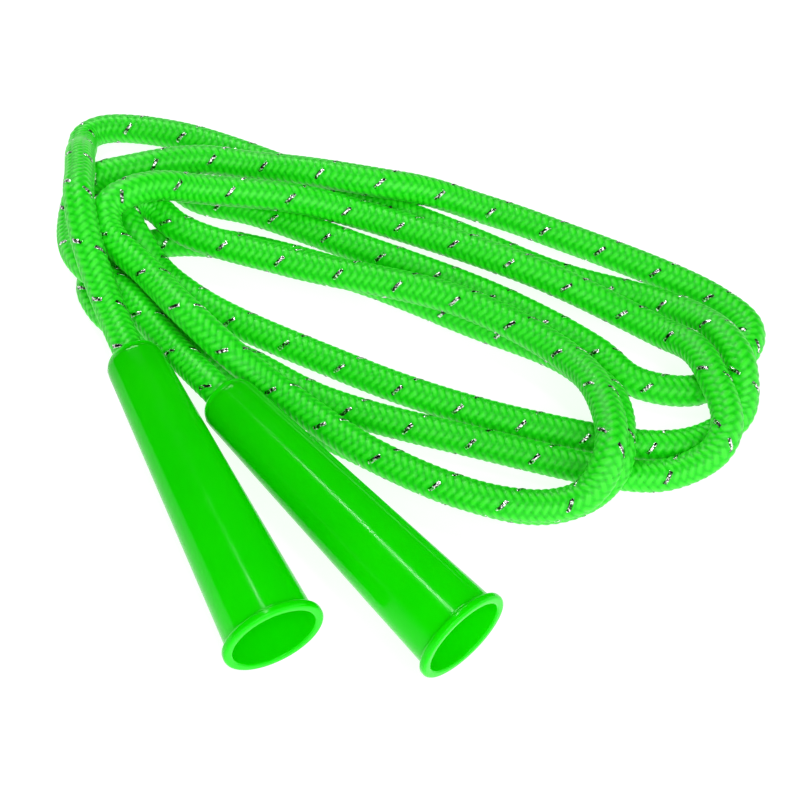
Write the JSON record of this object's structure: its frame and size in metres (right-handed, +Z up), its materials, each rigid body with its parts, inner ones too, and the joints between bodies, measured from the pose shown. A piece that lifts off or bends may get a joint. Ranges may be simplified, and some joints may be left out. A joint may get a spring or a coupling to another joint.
{
  "type": "skipping rope",
  "caption": "Skipping rope: a green braided rope with a silver fleck, laid in a loose hank, with a hollow tapered plastic handle turning on each end.",
  "frame": {"origin": "on the ground, under the middle of the box round the two handles", "axes": "+Z up; +Y from the handles' open mouths towards the rope, along the line midway between the two handles; +X to the right of that, towards the hank of rope"},
  "size_m": [0.1954, 0.233, 0.0362],
  "materials": {
    "handle_plastic": "glossy injection moulded",
    "washer_nylon": "natural nylon",
    "rope_braid": "braided filament yarn",
    "tinsel": "silver metallised yarn",
    "rope_melt": "heat-sealed yarn ends"
  },
  "bodies": {
    "rope": {"rope": "rope_braid", "left_stop_knot": "rope_braid", "right_stop_knot": "rope_braid", "left_rope_tail": "rope_braid", "right_rope_tail": "rope_braid", "left_melted_tip": "rope_melt", "right_melted_tip": "rope_melt"},
    "left_washer": {"left_washer": "washer_nylon"},
    "left_handle": {"left_handle": "handle_plastic"},
    "right_washer": {"right_washer": "washer_nylon"},
    "right_handle": {"right_handle": "handle_plastic"}
  },
  "joints": [
    {"name": "left_handle_slide", "type": "slide", "parent": "rope", "child": "left_washer", "axis": [-0.1322, -0.9907, -0.0313], "range_m": [0, 0.018]},
    {"name": "left_handle_spin", "type": "hinge", "parent": "left_washer", "child": "left_handle", "pos_m": [-0.00728, 0.0649, 0.0177], "axis": [-0.1322, -0.9907, -0.0313], "continuous": true},
    {"name": "right_handle_slide", "type": "slide", "parent": "rope", "child": "right_washer", "axis": [0.1322, -0.9907, -0.0313], "range_m": [0, 0.018]},
    {"name": "right_handle_spin", "type": "hinge", "parent": "right_washer", "child": "right_handle", "pos_m": [0.00728, 0.037, 0.0177], "axis": [0.1322, -0.9907, -0.0313], "continuous": true}
  ]
}
